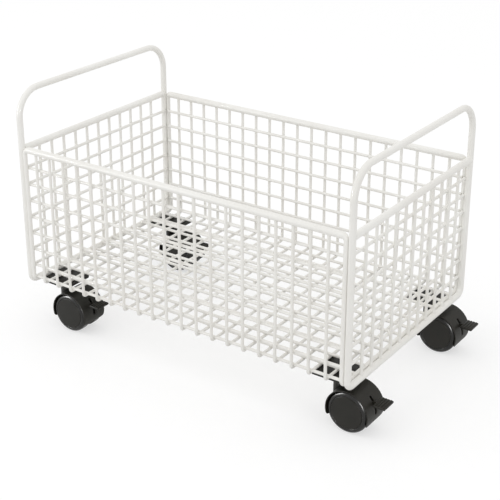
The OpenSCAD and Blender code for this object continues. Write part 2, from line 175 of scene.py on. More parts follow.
def math_node(tree, operation, a, b):
    """A Math node of two values, each a number or a socket."""
    node = tree.nodes.new("ShaderNodeMath")
    node.operation = operation
    for socket, value in zip(node.inputs, (a, b)):
        if isinstance(value, (int, float)):
            socket.default_value = value
        else:
            tree.links.new(value, socket)
    return node.outputs[0]


print("at a scale of 1000 a noise has about one grain in a millimetre")


# %% Make the skin relief
def make_skin_group():
    """A relief of fine grains over slow waves, as a normal."""
    group, enter, leave = new_group(
        "Skin relief",
        [("Grain scale", "NodeSocketFloat", 900.0), ("Wave scale", "NodeSocketFloat", 120.0),
         ("Wave share", "NodeSocketFloat", 0.4), ("Strength", "NodeSocketFloat", 0.1),
         ("Depth", "NodeSocketFloat", 0.2 * MM)],
        [("Normal", "NodeSocketVector")])
    grain = object_noise(group, enter.outputs["Grain scale"], detail=3)
    wave = object_noise(group, enter.outputs["Wave scale"], detail=2)
    waves = math_node(group, "MULTIPLY", wave, enter.outputs["Wave share"])
    bump = group.nodes.new("ShaderNodeBump")
    group.links.new(math_node(group, "ADD", grain, waves), bump.inputs["Height"])
    group.links.new(enter.outputs["Strength"], bump.inputs["Strength"])
    group.links.new(enter.outputs["Depth"], bump.inputs["Distance"])
    group.links.new(bump.outputs["Normal"], leave.inputs["Normal"])
    return group


SKIN = make_skin_group()
print("group:", SKIN.name)


# %% Stretch a value and mix two colours
def stretched(tree, value, low, high):
    """A value from low to high drawn out to 0 to 1."""
    node = tree.nodes.new("ShaderNodeMapRange")
    node.inputs["From Min"].default_value = low
    node.inputs["From Max"].default_value = high
    tree.links.new(value, node.inputs["Value"])
    return node.outputs[0]


def mixed_colour(tree, share, a, b):
    """A colour between two, each a colour or a socket."""
    mix = tree.nodes.new("ShaderNodeMix")
    mix.data_type = "RGBA"
    mix.clamp_factor = True
    tree.links.new(share, mix.inputs["Factor"])
    for label, colour in (("A", a), ("B", b)):
        if isinstance(colour, tuple):
            mix.inputs[label].default_value = colour
        else:
            tree.links.new(colour, mix.inputs[label])
    return mix.outputs["Result"]


print("a mask of 0 keeps tone A, and one of 1 shows tone B")

# %% Make the tone drift
PATCH_LOW, PATCH_HIGH = 0.35, 0.65


def make_drift_group():
    """A colour that drifts between two tones, with finer specks of the second one."""
    group, enter, leave = new_group(
        "Tone drift",
        [("Tone A", "NodeSocketColor", (1, 1, 1, 1)), ("Tone B", "NodeSocketColor", (0, 0, 0, 1)),
         ("Patch scale", "NodeSocketFloat", 12.0), ("Speck scale", "NodeSocketFloat", 300.0),
         ("Speck share", "NodeSocketFloat", 0.2)],
        [("Color", "NodeSocketColor"), ("Mask", "NodeSocketFloat")])
    patch = object_noise(group, enter.outputs["Patch scale"], detail=3)
    speck = object_noise(group, enter.outputs["Speck scale"], detail=1)
    patches = stretched(group, patch, PATCH_LOW, PATCH_HIGH)
    specks = math_node(group, "MULTIPLY", speck, enter.outputs["Speck share"])
    mask = math_node(group, "ADD", patches, specks)
    colour = mixed_colour(group, mask, enter.outputs["Tone A"], enter.outputs["Tone B"])
    group.links.new(colour, leave.inputs["Color"])
    group.links.new(mask, leave.inputs["Mask"])
    return group


DRIFT = make_drift_group()
print("group:", DRIFT.name)

# %% Make the settled dust
DUST_SLOPE = 0.2


def make_dust_group():
    """A mask for the dust that settles on faces that look up, broken up by noise."""
    group, enter, leave = new_group(
        "Settled dust",
        [("Amount", "NodeSocketFloat", 0.3), ("Scale", "NodeSocketFloat", 60.0)],
        [("Mask", "NodeSocketFloat")])
    geometry = group.nodes.new("ShaderNodeNewGeometry")
    split = group.nodes.new("ShaderNodeSeparateXYZ")
    group.links.new(geometry.outputs["Normal"], split.inputs[0])
    up = stretched(group, split.outputs["Z"], DUST_SLOPE, 1.0)
    noise = object_noise(group, enter.outputs["Scale"], detail=6, roughness=0.65)
    broken = math_node(group, "MULTIPLY", up, noise)
    amount = math_node(group, "MULTIPLY", broken, enter.outputs["Amount"])
    group.links.new(amount, leave.inputs["Mask"])
    return group


DUST = make_dust_group()
print("group:", DUST.name)

# %% [markdown]
# ## Finishes
# The basket is steel under off-white powder coat. The casters are black nylon with three finishes:
# the hood and lever come grained out of the mould, the caps are smoother, and the wheels are the
# darkest and the most glossy. The pins are zinc plated. Each finish is one Principled material
# whose colour, roughness and normal come from the groups. One function makes all six, so they
# differ only in their values. A colour is written as it looks on a screen, from 0 to 255, and
# turned to the linear values that Blender works in.

# %% Turn a screen colour to a linear one
DUST_TONE = (120, 118, 112)


def srgb(red, green, blue):
    """A screen colour as Blender's linear one."""
    def linear(level):
        share = level / 255
        return share / 12.92 if share <= 0.04045 else ((share + 0.055) / 1.055) ** 2.4
    return (linear(red), linear(green), linear(blue), 1.0)


print("a dust of", DUST_TONE, "is", [round(level, 3) for level in srgb(*DUST_TONE)[:3]], "in linear values")


# %% Make a finish
def place_group(tree, group, **values):
    node = tree.nodes.new("ShaderNodeGroup")
    node.node_tree = group
    for label, value in values.items():
        node.inputs[label.replace("_", " ")].default_value = value
    return node


def finish(name, tone_a, tone_b, roughness, skin, drift, dust=None, metallic=0.0, coat=0.0, specular=0.5,
           rough_swing=0.06):
    """One Principled material with its tone drift, skin relief and dust."""
    material = bpy.data.materials.new(name)
    material.use_nodes = True
    tree = material.node_tree
    shader = tree.nodes["Principled BSDF"]
    shader.inputs["Metallic"].default_value = metallic
    shader.inputs["Coat Weight"].default_value = coat
    shader.inputs["Specular IOR Level"].default_value = specular
    tones = place_group(tree, DRIFT, Tone_A=srgb(*tone_a), Tone_B=srgb(*tone_b), **drift)
    colour = tones.outputs["Color"]
    if dust:
        film = place_group(tree, DUST, **dust)
        colour = mixed_colour(tree, film.outputs["Mask"], colour, srgb(*DUST_TONE))
    tree.links.new(colour, shader.inputs["Base Color"])
    swing = math_node(tree, "MULTIPLY", tones.outputs["Mask"], rough_swing)
    tree.links.new(math_node(tree, "ADD", swing, roughness), shader.inputs["Roughness"])
    relief = place_group(tree, SKIN, **skin)
    tree.links.new(relief.outputs["Normal"], shader.inputs["Normal"])
    return material


print("each finish places", DRIFT.name, "and", SKIN.name)

# %% Finish the steel
enamel = finish(
    "off_white_powder_coat", tone_a=(243, 242, 238), tone_b=(237, 235, 230),
    roughness=0.5, coat=0.05, specular=0.3,
    skin={"Grain_scale": 1100.0, "Wave_scale": 260.0, "Wave_share": 0.8, "Strength": 0.12},
    drift={"Patch_scale": 9.0, "Speck_scale": 500.0, "Speck_share": 0.15})
plate_black = finish(
    "black_coated_steel", tone_a=(22, 21, 18), tone_b=(30, 28, 24),
    roughness=0.42, specular=0.25,
    skin={"Grain_scale": 1300.0, "Wave_scale": 200.0, "Strength": 0.15},
    drift={"Patch_scale": 35.0, "Speck_scale": 700.0, "Speck_share": 0.3})
zinc = finish(
    "zinc_plate", tone_a=(186, 189, 192), tone_b=(160, 162, 166),
    roughness=0.3, metallic=1.0,
    skin={"Grain_scale": 700.0, "Wave_scale": 150.0, "Strength": 0.1},
    drift={"Patch_scale": 60.0, "Speck_scale": 600.0, "Speck_share": 0.5})
print("steel:", enamel.name, "/", plate_black.name, "/", zinc.name)

# %% Finish the nylon
hood_nylon = finish(
    "grained_black_nylon", tone_a=(27, 26, 20), tone_b=(33, 31, 24),
    roughness=0.42, specular=0.24,
    skin={"Grain_scale": 2600.0, "Wave_scale": 500.0, "Strength": 0.22},
    drift={"Patch_scale": 30.0, "Speck_scale": 1500.0, "Speck_share": 0.3},
    dust={"Amount": 0.05, "Scale": 90.0})
wheel_nylon = finish(
    "black_tread", tone_a=(13, 12, 9), tone_b=(19, 18, 14),
    roughness=0.24, specular=0.4, rough_swing=0.03,
    skin={"Grain_scale": 1800.0, "Wave_scale": 300.0, "Strength": 0.05},
    drift={"Patch_scale": 40.0, "Speck_scale": 900.0, "Speck_share": 0.4},
    dust={"Amount": 0.04, "Scale": 120.0})
cap_nylon = finish(
    "smooth_black_cap", tone_a=(25, 24, 18), tone_b=(31, 29, 23),
    roughness=0.3, specular=0.27,
    skin={"Grain_scale": 1500.0, "Wave_scale": 90.0, "Wave_share": 1.2, "Strength": 0.06},
    drift={"Patch_scale": 25.0, "Speck_scale": 1200.0, "Speck_share": 0.2},
    dust={"Amount": 0.03, "Scale": 80.0})
print("nylon:", hood_nylon.name, "/", wheel_nylon.name, "/", cap_nylon.name)

# %% Put the finishes on the frame's nodes
FINISH_OF_SLOT = {"enamel": enamel, "hood_nylon": hood_nylon, "wheel_nylon": wheel_nylon,
                  "cap_nylon": cap_nylon, "plate_black": plate_black, "zinc": zinc}
slot_of = {row["node"]: row["material_slot"] for row in frame["record"]["subparts"]}
for name, node in frame["nodes"].items():
    node.data.materials.clear()
    node.data.materials.append(FINISH_OF_SLOT[slot_of[name]])
print("dressed", len(slot_of), "nodes")

# %% [markdown]
# ## From a bmesh to a piece of the cart
# Every new piece ends the same way. Its mesh is shaded smooth, with the edges past an angle kept
# sharp. It rides on the body of the node that it stands for or belongs to, so that it moves as that
# does, and it takes that node's slot and finish.

# %% Add a piece
bodies = frame["record"]["behaviour"]["bodies"]
body_of = {node: body for body, members in bodies.items() for node in members}


def add_piece(name, bm, node, stands_for=True, sharp=40.0):
    """Makes the bmesh an object that takes the node's body, slot and finish."""
    mesh = bpy.data.meshes.new(name)
    bm.to_mesh(mesh)
    bm.free()
    mesh.shade_smooth()
    mesh.set_sharp_from_angle(angle=math.radians(sharp))
    mesh.materials.append(FINISH_OF_SLOT[slot_of[node]])
    piece = bpy.data.objects.new(name, mesh)
    scene.collection.objects.link(piece)
    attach(piece, body_of[node])
    if stands_for:
        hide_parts(node)
    return piece


print("the front left hood rides on", body_of["front_left_hood"])

# %% Clean a mesh and round its edges
WELD = 0.001 * MM
EDGE_STEPS = 3


def each_once(items):
    """The items without repeats, in the order in which they come."""
    return list(dict.fromkeys(items))


def tidy_bmesh(bm, weld=WELD):
    """Merges doubled vertices, and then points the faces outwards."""
    bmesh.ops.remove_doubles(bm, verts=bm.verts, dist=weld)
    bmesh.ops.recalc_face_normals(bm, faces=bm.faces)
    return bm


def round_edges(bm, edges, radius, segments):
    bmesh.ops.bevel(bm, geom=edges, offset=radius, segments=segments, profile=0.5, affect="EDGES",
                    material=-1, clamp_overlap=True)


def round_hard_edges(bm, radius, angle):
    """Rounds the edges whose two faces meet at more than an angle."""
    hard = [e for e in bm.edges if len(e.link_faces) == 2 and e.calc_face_angle(0.0) > math.radians(angle)]
    round_edges(bm, hard, radius, EDGE_STEPS)
    return bm


print("doubles within", WELD / MM, "mm are merged")

# %% [markdown]
# ## Bent tubes
# An end frame is one tube, bent into a closed loop that is handle, legs and foot. A curve with a
# round bevel would make a tube too, but a spline has one resolution for wide and tight bends alike.
# A ring of vertices that is pushed along each straight and spun round each bend gives true arcs,
# with as many steps as each bend needs. It comes back to where it began, and there its first and
# last rings are merged, so the skin is as continuous as that of the real tube.

# %% Push and bend a ring
RING_WELD = 0.01 * MM


def verts_of(edges):
    return each_once(v for e in edges for v in e.verts)


def push_ring(bm, ring, move):
    """Extrudes a ring of edges and moves the new ring."""
    made = bmesh.ops.extrude_edge_only(bm, edges=ring)["geom"]
    verts = [g for g in made if isinstance(g, bmesh.types.BMVert)]
    bmesh.ops.translate(bm, verts=verts, vec=move)
    return [g for g in made if isinstance(g, bmesh.types.BMEdge) and all(v in verts for v in g.verts)]


def bend_ring(bm, ring, pivot, axis, steps, degrees=90):
    """Spins a ring of edges round a bend and gives the ring at its end."""
    made = bmesh.ops.spin(bm, geom=verts_of(ring) + ring, cent=pivot, axis=axis,
                          angle=math.radians(degrees), steps=steps, use_duplicate=False)["geom_last"]
    return [g for g in made if isinstance(g, bmesh.types.BMEdge)]


print("the rings at a seam are merged within", RING_WELD / MM, "mm")

# %% Bend the two end frames
HANDLE_BEND_R = 38 * MM
HANDLE_BEND_STEPS = 20
FOOT_BEND_R = 10 * MM
FOOT_BEND_STEPS = 12
TUBE_SIDES = 40


def bent_end_frame(x):
    """Foot, legs and handle as one closed loop of tube in the plane at x."""
    foot_y, low_z = leg_y - FOOT_BEND_R, foot_z + FOOT_BEND_R
    handle_y, high_z = leg_y - HANDLE_BEND_R, handle_z - HANDLE_BEND_R
    bm = bmesh.new()
    start = Matrix.Translation((x, 0, foot_z)) @ Matrix.Rotation(math.radians(90), 4, "X")
    bmesh.ops.create_circle(bm, segments=TUBE_SIDES, radius=tube_r, matrix=start)
    ring = push_ring(bm, list(bm.edges), (0, foot_y, 0))
    ring = bend_ring(bm, ring, (x, foot_y, low_z), (1, 0, 0), FOOT_BEND_STEPS)
    ring = push_ring(bm, ring, (0, 0, high_z - low_z))
    ring = bend_ring(bm, ring, (x, handle_y, high_z), (1, 0, 0), HANDLE_BEND_STEPS)
    ring = push_ring(bm, ring, (0, -2 * handle_y, 0))
    ring = bend_ring(bm, ring, (x, -handle_y, high_z), (1, 0, 0), HANDLE_BEND_STEPS)
    ring = push_ring(bm, ring, (0, 0, low_z - high_z))
    ring = bend_ring(bm, ring, (x, -foot_y, low_z), (1, 0, 0), FOOT_BEND_STEPS)
    push_ring(bm, ring, (0, foot_y, 0))
    return tidy_bmesh(bm, weld=RING_WELD)


for side, leg_x in (("left", leg_x_left), ("right", leg_x_right)):
    tube = add_piece(f"{side}_bent_tube", bent_end_frame(leg_x), f"{side}_end_frame")
    print(tube.name, len(tube.data.polygons), "faces")

# %% [markdown]
# ## The loop of the long panels
# On each long side the rim rail turns down at both ends and goes on as the thinner border rod,
# which runs under the floor to the other side. So two rails and two border rods make one closed
# loop. Four bars that only met at the corners would show a step there, from thick to thin. The loop
# starts in the middle of the front rail and is pushed and spun as the end frames are. At the rim
# it bends in short steps, and each new ring of vertices is scaled and moved a little, so that the
# thick rail passes evenly into the thin rod.

# %% Bend a rail down at the rim
BORDER_R = 3 * MM
RIM_BEND_R = 6 * MM
RIM_BEND_STEPS = 12


def border_x(side):
    """Where the middle line of a border rod runs."""
    low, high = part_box(f"{side}_border_rod")
    return low.x + BORDER_R if side == "left" else high.x - BORDER_R


def bend_at_rim(bm, ring, x, turn, shift, thinner):
    """A quarter bend about an axis along Y that also moves the ring along Y and scales it."""
    growth = BORDER_R / rim_r if thinner else rim_r / BORDER_R
    step_scale = Vector((1, 1, 1)) * growth ** (1 / RIM_BEND_STEPS)
    pivot = (x, 0, rim_z - RIM_BEND_R)
    for _ in range(RIM_BEND_STEPS):
        ring = bend_ring(bm, ring, pivot, (0, turn, 0), steps=1, degrees=90 / RIM_BEND_STEPS)
        verts = verts_of(ring)
        bmesh.ops.translate(bm, verts=verts, vec=(0, shift / RIM_BEND_STEPS, 0))
        here = sum((v.co for v in verts), Vector()) / len(verts)
        bmesh.ops.scale(bm, verts=verts, vec=step_scale, space=Matrix.Translation(-here))
    return ring


print(f"border rods at x = {border_x('left') / MM:.1f} and {border_x('right') / MM:.1f} mm")

# %% Run a border rod under the floor
BORDER_FOOT_R = 9 * MM
BORDER_FOOT_STEPS = 10


def border_run(bm, ring, x, turn, front):
    """From one rail over to the other one: down, under the floor and up again."""
    low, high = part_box("left_border_rod")
    rod_y = high.y - BORDER_R
    foot_y = rod_y - BORDER_FOOT_R
    low_z = low.z + BORDER_R + BORDER_FOOT_R
    rise = rim_z - RIM_BEND_R - low_z
    bend_x = x - turn * RIM_BEND_R
    shift = front * (rod_y - leg_y)
    ring = bend_at_rim(bm, ring, bend_x, turn, shift, thinner=True)
    ring = push_ring(bm, ring, (0, 0, -rise))
    ring = bend_ring(bm, ring, (x, front * foot_y, low_z), (turn, 0, 0), BORDER_FOOT_STEPS)
    ring = push_ring(bm, ring, (0, -2 * front * foot_y, 0))
    ring = bend_ring(bm, ring, (x, -front * foot_y, low_z), (turn, 0, 0), BORDER_FOOT_STEPS)
    ring = push_ring(bm, ring, (0, 0, rise))
    return bend_at_rim(bm, ring, bend_x, -turn, shift, thinner=False)


print(f"the rods turn under the floor with a bend of {BORDER_FOOT_R / MM:.0f} mm")

# %% Close the loop of the long panels
LOOP_SIDES = 32


def panel_loop():
    """Front rail, right border rod, back rail and left border rod as one closed tube."""
    left, right = border_x("left") + RIM_BEND_R, border_x("right") - RIM_BEND_R
    bm = bmesh.new()
    start = Matrix.Translation((0, -leg_y, rim_z)) @ Matrix.Rotation(math.radians(90), 4, "Y")
    bmesh.ops.create_circle(bm, segments=LOOP_SIDES, radius=rim_r, matrix=start)
    ring = push_ring(bm, list(bm.edges), (right, 0, 0))
    ring = border_run(bm, ring, border_x("right"), turn=1, front=-1)
    ring = push_ring(bm, ring, (left - right, 0, 0))
    ring = border_run(bm, ring, border_x("left"), turn=-1, front=1)
    push_ring(bm, ring, (-left, 0, 0))
    tidy_bmesh(bm, weld=RING_WELD)
    print("the loop has", sum(e.is_boundary for e in bm.edges), "open edges")
    return bm


loop = add_piece("long_panel_loop", panel_loop(), "front_rim_rail", stands_for=False)
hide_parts("front_rim_rail", "back_rim_rail", "left_border_rod", "right_border_rod")
print(loop.name, len(loop.data.polygons), "faces")

# %% [markdown]
# ## Wheels and caps
# A wheel is a solid of revolution. A cylinder with rounded edges would look like it from afar. A
# section that is drawn once and spun round the axle takes no more work, and it also has the soft
# shoulder that catches the light, the lip round the cap and the hollow drum behind the face, where
# the brake bar bears. The cap is turned the same way. It domes a little, so its reflections bend
# instead of lying flat.


# %% Turn a section
def turned(bm, section, spot, axis, steps, across=None):
    """Spins a closed section of (radius, along) pairs into a solid of revolution."""
    axis = Vector(axis)
    across = Vector(across) if across else axis.orthogonal().normalized()
    start = [bm.verts.new(Vector(spot) + across * r + axis * a) for r, a in section]
    edges = [bm.edges.new(pair) for pair in zip(start, start[1:] + start[:1])]
    bmesh.ops.spin(bm, geom=start + edges, cent=spot, axis=axis, angle=math.tau,
                   steps=steps, use_merge=True, use_duplicate=False)
    return tidy_bmesh(bm)


def round_corner(pivot, radius, start_deg, end_deg, steps):
    """Points of an arc of a section, round the given pivot."""
    turns = [math.radians(start_deg + (end_deg - start_deg) * i / steps) for i in range(steps + 1)]
    return [(pivot[0] + radius * math.cos(turn), pivot[1] + radius * math.sin(turn)) for turn in turns]


print("a corner of 2 mm starts at", round_corner((0, 0), 2 * MM, 0, 90, 4)[0], "m")

# %% Draw the section of a wheel
SHOULDER_R = 5.3 * MM
SHOULDER_DEG = 84
SHOULDER_STEPS = 14
TREAD_EDGE_R = 0.5 * MM
TREAD_EDGE_STEPS = 4
HUB_WALL = 3.5 * MM
AXLE_PLAY = 0.05 * MM
DRUM_R = 22 * MM
DRUM_DEPTH = 10.6 * MM
DRUM_EDGE = 0.6 * MM
CAP_SEAT_DEPTH = 2 * MM
CAP_GAP = 0.25 * MM
LIP_EDGE = 0.35 * MM


def wheel_section():
    """(radius, distance from the caster's middle) round the wheel's section."""
    back, face = wheel_back, wheel_face
    drum, seat = back + DRUM_DEPTH, face - CAP_SEAT_DEPTH
    bore, hub, lip = axle_r + AXLE_PLAY, axle_r + HUB_WALL, cap_r + CAP_GAP
    section = [(bore, back), (hub, back), (hub, drum), (DRUM_R, drum)]
    section += [(DRUM_R, back + DRUM_EDGE), (DRUM_R + DRUM_EDGE, back)]
    section += round_corner((wheel_r - TREAD_EDGE_R, back + TREAD_EDGE_R), TREAD_EDGE_R,
                            -90, 0, TREAD_EDGE_STEPS)
    section += round_corner((wheel_r - SHOULDER_R, face - SHOULDER_R), SHOULDER_R,
                            0, SHOULDER_DEG, SHOULDER_STEPS)
    section += [(lip + LIP_EDGE, face), (lip, face - LIP_EDGE), (lip, seat)]
    return section + [(0, seat), (0, drum), (bore, drum)]


print("a wheel's section has", len(wheel_section()), "points")

# %% Turn the wheels
WHEEL_STEPS = 120


def turn_about_axle(section, corner, place):
    """Turns a section about a caster's axle, towards its outer or inner wheel."""
    axle = centre(f"{corner}_axle")
    side = 1 if centre(f"{corner}_wheel_{place}").y > axle.y else -1
    return turned(bmesh.new(), section, axle, (0, side, 0), WHEEL_STEPS, across=(0, 0, 1))


WHEEL_PLACES = [(corner, place) for corner in CORNERS for place in ("outer", "inner")]
for corner, place in WHEEL_PLACES:
    wheel = turn_about_axle(wheel_section(), corner, place)
    add_piece(f"{corner}_{place}_tread", wheel, f"{corner}_wheel_{place}", sharp=50)
print("turned", len(WHEEL_PLACES), "wheels")

# %% Turn the hub caps
CAP_EDGE_R = 0.5 * MM
CAP_EDGE_DEG = 78
CAP_EDGE_STEPS = 5
CAP_PLAY = 0.05 * MM
CAP_SUNK = 0.15 * MM
CAP_DOME = 0.25 * MM
DOME_SHARES = (0.93, 0.85, 0.7, 0.5, 0.3, 0.1)


def cap_section():
    """A flat disc that domes a little to its edge, which is rounded over."""
    seat = wheel_face - CAP_SEAT_DEPTH + CAP_PLAY
    rim = cap_r - CAP_PLAY
    face = cap_front - CAP_SUNK
    edge = round_corner((rim - CAP_EDGE_R, face - CAP_EDGE_R - CAP_DOME), CAP_EDGE_R,
                        0, CAP_EDGE_DEG, CAP_EDGE_STEPS)
    dome = [(rim * share, face - CAP_DOME * share ** 3) for share in DOME_SHARES]
    return [(0, seat), (rim, seat)] + edge + dome + [(0, face)]


for corner, place in WHEEL_PLACES:
    cap = turn_about_axle(cap_section(), corner, place)
    add_piece(f"{corner}_{place}_cap", cap, f"{corner}_hub_cap_{place}")
print("turned", len(WHEEL_PLACES), "caps")

# %% [markdown]
# ## The hood
# The hood is a nylon moulding: a curved band over both treads, a web between the wheels and a neck
# round the kingpin. The band starts as one row of vertices across the caster, which is spun about
# the axle. The slot for the lever is left open by deleting faces, before the sheet gets its wall.
# A boolean could cut the slot later, but it leaves short edges, and a bevel can't grow past those.
# Band and web are drawn round an axle at the origin, and moved to their corner last.

# %% Round the corners of the hood's skirt
SKIRT_DEG = 24
SKIRT_CORNER_R = 5 * MM


def angle_about_axle(point):
    return math.degrees(math.atan2(point.z, point.x))


def round_skirt_corners(bm, half):
    """Draws the rows near both ends of the band inwards, along a quarter circle."""
    # The angle of a vertex is counted from the band's first end. A vertex of that end may come out
    # a hair below zero, so only what lies more than a degree below is taken round to the far end.
    for vert in bm.verts:
        turn = (angle_about_axle(vert.co) + SKIRT_DEG + 180) % 360 - 180
        turn = turn if turn >= -1 else turn + 360
        to_end = hood_r * math.radians(min(turn, 180 + 2 * SKIRT_DEG - turn))
        if to_end < SKIRT_CORNER_R:
            drop = SKIRT_CORNER_R - max(0.0, to_end)
            width = half - SKIRT_CORNER_R + math.sqrt(SKIRT_CORNER_R ** 2 - drop ** 2)
            vert.co.y *= width / half


print("the skirt ends", SKIRT_DEG, "degrees under the axle, on both sides")

# %% Bend the hood's band
BAND_STEP_DEG = 2
BAND_ROWS = (0.3, 0.6)
BAND_SIDE = 2 * MM
BAND_EDGE_R = 0.4 * MM
HOOD_WALL = 1.4 * MM
SLOT_HALF = 2.0 * MM
SLOT_DEG = (-2, 46)


def hood_band():
    """The curved band, drawn round an axle at the origin."""
    bm = bmesh.new()
    half = hood_w / 2
    near = [SLOT_HALF] + [half * share for share in BAND_ROWS] + [half - BAND_SIDE, half]
    start = math.radians(-SKIRT_DEG)
    row = [bm.verts.new((hood_r * math.cos(start), y, hood_r * math.sin(start)))
           for y in [-y for y in reversed(near)] + near]
    edges = [bm.edges.new(pair) for pair in zip(row, row[1:])]
    turn = 180 + 2 * SKIRT_DEG
    bmesh.ops.spin(bm, geom=row + edges, cent=(0, 0, 0), axis=(0, -1, 0), angle=math.radians(turn),
                   steps=turn // BAND_STEP_DEG, use_duplicate=False)
    middles = {face: face.calc_center_median() for face in bm.faces}
    slot = [face for face, spot in middles.items()
            if abs(spot.y) < SLOT_HALF and SLOT_DEG[0] < angle_about_axle(spot) < SLOT_DEG[1]]
    bmesh.ops.delete(bm, geom=slot, context="FACES")
    round_skirt_corners(bm, half)
    bmesh.ops.recalc_face_normals(bm, faces=bm.faces)
    if sum(f.normal.dot(f.calc_center_median().normalized()) for f in bm.faces) < 0:
        bmesh.ops.reverse_faces(bm, faces=bm.faces)
    bmesh.ops.solidify(bm, geom=bm.faces[:], thickness=HOOD_WALL)
    return round_hard_edges(tidy_bmesh(bm), BAND_EDGE_R, angle=50)


for corner in CORNERS:
    band = hood_band()
    bmesh.ops.translate(band, verts=band.verts, vec=centre(f"{corner}_axle"))
    add_piece(f"{corner}_hood_band", band, f"{corner}_hood", sharp=60)
print("bent", len(CORNERS), "bands over", 180 + 2 * SKIRT_DEG, "degrees")

# %% [markdown]
# ## Inside the hood
# Between the wheels stands a web of two cheeks. The lever moves in the pocket that they leave. Each
# part of the web is a slice of a pie: an edge is spun about the axle, and the sheet that it leaves
# is extruded across. The neck round the kingpin and the hub round the axle are turned, as the
# wheels are. The window for the brake's cross bar is cut with a boolean, which does no harm here,
# because no edge of the web is rounded later. It is applied at once, so the web keeps no modifier.

# %% Build the web
WEB_HALF = 6 * MM
WEB_STEP_DEG = 6
WEB_BITE = 0.6 * HOOD_WALL
POCKET_DEG = 92


def sector_slab(bm, from_deg, to_deg, y_low, y_high):
    """A slice of a pie round the axle, up into the band's wall, from one y to another."""
    first = math.radians(from_deg)
    ends = [bm.verts.new((r * math.cos(first), y_low, r * math.sin(first)))
            for r in (axle_r, hood_r - WEB_BITE)]
    edge = bm.edges.new(ends)
    before = set(bm.faces)
    bmesh.ops.spin(bm, geom=ends + [edge], cent=(0, 0, 0), axis=(0, -1, 0),
                   angle=math.radians(to_deg - from_deg),
                   steps=round((to_deg - from_deg) / WEB_STEP_DEG), use_duplicate=False)
    sheet = [f for f in bm.faces if f not in before]
    grown = bmesh.ops.extrude_face_region(bm, geom=sheet)["geom"]
    bmesh.ops.translate(bm, verts=[g for g in grown if isinstance(g, bmesh.types.BMVert)],
                        vec=(0, y_high - y_low, 0))


def hood_web():
    """Two cheeks with a pocket for the lever between them, round an axle at the origin."""
    bm = bmesh.new()
    start, end = -SKIRT_DEG, 180 + SKIRT_DEG
    sector_slab(bm, start, end, -WEB_HALF, -SLOT_HALF)
    sector_slab(bm, start, end, SLOT_HALF, WEB_HALF)
    sector_slab(bm, POCKET_DEG, end, -SLOT_HALF, SLOT_HALF)
    sector_slab(bm, start, SLOT_DEG[0], -SLOT_HALF, SLOT_HALF)
    bmesh.ops.recalc_face_normals(bm, faces=bm.faces)
    return bm


webs = {}
for corner in CORNERS:
    web = hood_web()
    bmesh.ops.translate(web, verts=web.verts, vec=centre(f"{corner}_axle"))
    webs[corner] = add_piece(f"{corner}_hood_web", web, f"{corner}_hood", sharp=30)
print("built", len(webs), "webs,", round(2 * WEB_HALF / MM), "mm thick")

# %% Turn the neck and the hub
NECK_FOOT_DEPTH = 24 * MM
NECK_EDGE_R = 0.5 * MM
NECK_STEPS = 64
STEM_DEPTH = 12.8 * MM
WEB_HUB_R = 9 * MM
HUB_PROUD = 0.1 * MM
HUB_EDGE = 0.3 * MM
HUB_STEPS = 48


def neck_section():
    """(radius, height above the axle) of the neck, with the hole for the kingpin's bush."""
    foot, hole = hood_r - NECK_FOOT_DEPTH, hood_r - STEM_DEPTH
    section = [(0, foot), (neck_r, foot), (neck_r, neck_top - NECK_EDGE_R)]
    section += [(neck_r - NECK_EDGE_R, neck_top), (bush_r, neck_top), (bush_r, hole)]
    return section + [(0, hole)]


def hub_section():
    """(radius, distance from the caster's middle) of the boss round the axle."""
    side = WEB_HALF + HUB_PROUD
    return [(axle_r, -side), (WEB_HUB_R - HUB_EDGE, -side), (WEB_HUB_R, -side + HUB_EDGE),
            (WEB_HUB_R, side - HUB_EDGE), (WEB_HUB_R - HUB_EDGE, side), (axle_r, side)]


for corner in CORNERS:
    axle = centre(f"{corner}_axle")
    neck = turned(bmesh.new(), neck_section(), axle - Vector((trail, 0, 0)), (0, 0, 1), NECK_STEPS)
    add_piece(f"{corner}_hood_neck", neck, f"{corner}_hood", sharp=50)
    hub = turned(bmesh.new(), hub_section(), axle, (0, 1, 0), HUB_STEPS)
    add_piece(f"{corner}_hood_hub", hub, f"{corner}_hood", sharp=30)
print("turned", len(CORNERS), "necks and hubs")

# %% Cut the windows for the cross bars
# Counted from the axle. The window's middle is halfway along the path of the cross bar.
WINDOW_SPOT = Vector((5.13 * MM, 0, 17.27 * MM))
WINDOW_R = 4.1 * MM
WINDOW_SIDES = 32


def bar_along_y(bm, spot, radius, half, sides):
    """A round bar along Y, and the vertices that it is made of."""
    matrix = Matrix.Translation(spot) @ Matrix.Rotation(math.radians(90), 4, "X")
    return bmesh.ops.create_cone(bm, cap_ends=True, segments=sides, radius1=radius, radius2=radius,
                                 depth=2 * half, matrix=matrix)["verts"]


def cut_window(piece, spot):
    """Cuts a round window along Y with a boolean that is applied at once."""
    bm = bmesh.new()
    bar_along_y(bm, spot, WINDOW_R, 2 * WEB_HALF, WINDOW_SIDES)
    mesh = bpy.data.meshes.new("cutter")
    bm.to_mesh(mesh)
    bm.free()
    cutter = bpy.data.objects.new("cutter", mesh)
    scene.collection.objects.link(cutter)
    cut = piece.modifiers.new("Window", "BOOLEAN")
    cut.operation = "DIFFERENCE"
    cut.solver = "EXACT"
    cut.object = cutter
    bpy.context.view_layer.update()
    cut_mesh = bpy.data.meshes.new_from_object(piece.evaluated_get(bpy.context.evaluated_depsgraph_get()))
    piece.modifiers.remove(cut)
    piece.data = cut_mesh
    bpy.data.objects.remove(cutter)


for corner, web_piece in webs.items():
    cut_window(web_piece, centre(f"{corner}_axle") + WINDOW_SPOT)
    print(web_piece.name, len(web_piece.data.polygons), "faces")

